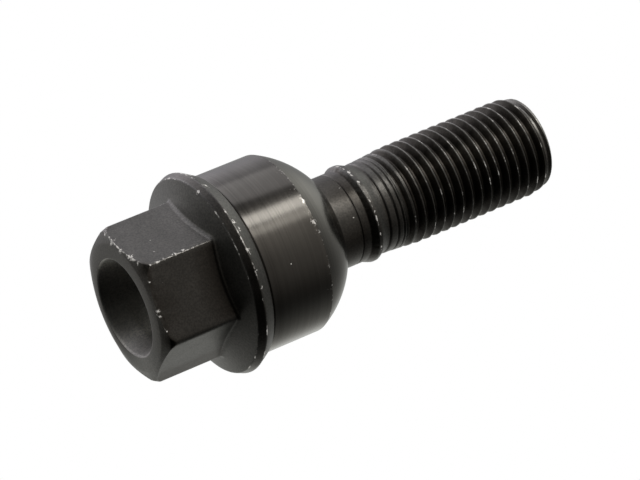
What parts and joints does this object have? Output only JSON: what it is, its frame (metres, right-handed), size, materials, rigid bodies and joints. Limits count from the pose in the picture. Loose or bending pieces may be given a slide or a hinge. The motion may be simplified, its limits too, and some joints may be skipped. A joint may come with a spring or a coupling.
{
  "type": "wheel bolt",
  "caption": "Black wheel bolt with a recessed hexagon head, a round flange, a loose ball-seat ring kept on the shank by a bead, and a metric thread.",
  "frame": {"origin": "middle of the head's end face, on which the bolt stands", "axes": "+Z along the bolt's axis from the head to the tip, +X through one corner of the hexagon"},
  "size_m": [0.0286, 0.0286, 0.0649],
  "materials": {
    "blackened_steel": "matt phosphate, worn bright on the edges",
    "turned_steel": "turned and blackened, satin"
  },
  "bodies": {
    "bolt": {"bolt": "blackened_steel"},
    "ring": {"seat_ring": "turned_steel"}
  },
  "joints": [
    {"name": "ring_spin", "type": "hinge", "parent": "bolt", "child": "ring", "pos_m": [0, 0, 0.0223], "axis": [0, 0, 1], "continuous": true}
  ]
}
